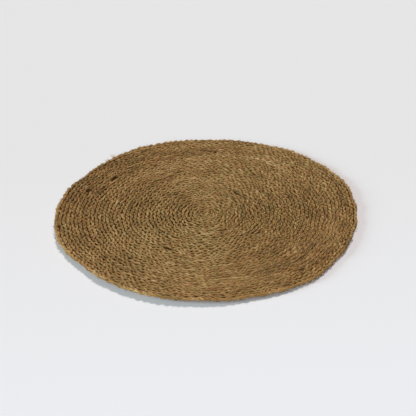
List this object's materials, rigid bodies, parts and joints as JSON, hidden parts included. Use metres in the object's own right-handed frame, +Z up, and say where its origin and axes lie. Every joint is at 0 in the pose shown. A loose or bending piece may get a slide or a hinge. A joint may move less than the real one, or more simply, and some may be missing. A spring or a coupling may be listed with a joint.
{
  "type": "placemat",
  "caption": "Round braided placemat: one plait of grass fibre wound in a flat spiral and sewn edge to edge, with ridged rounds and one side curled up a little.",
  "frame": {"origin": "on the table under the middle of the mat's length and width", "axes": "+Z up out of the mat's face, -Y towards the side seen in front, +X to its right"},
  "size_m": [0.3772, 0.3798, 0.0081],
  "materials": {
    "plaited_fibre": "matt dry plant fibre, olive brown, with paler straw highlights and dark pits between the strands"
  },
  "bodies": {
    "root": {"mat": "plaited_fibre"}
  },
  "joints": []
}
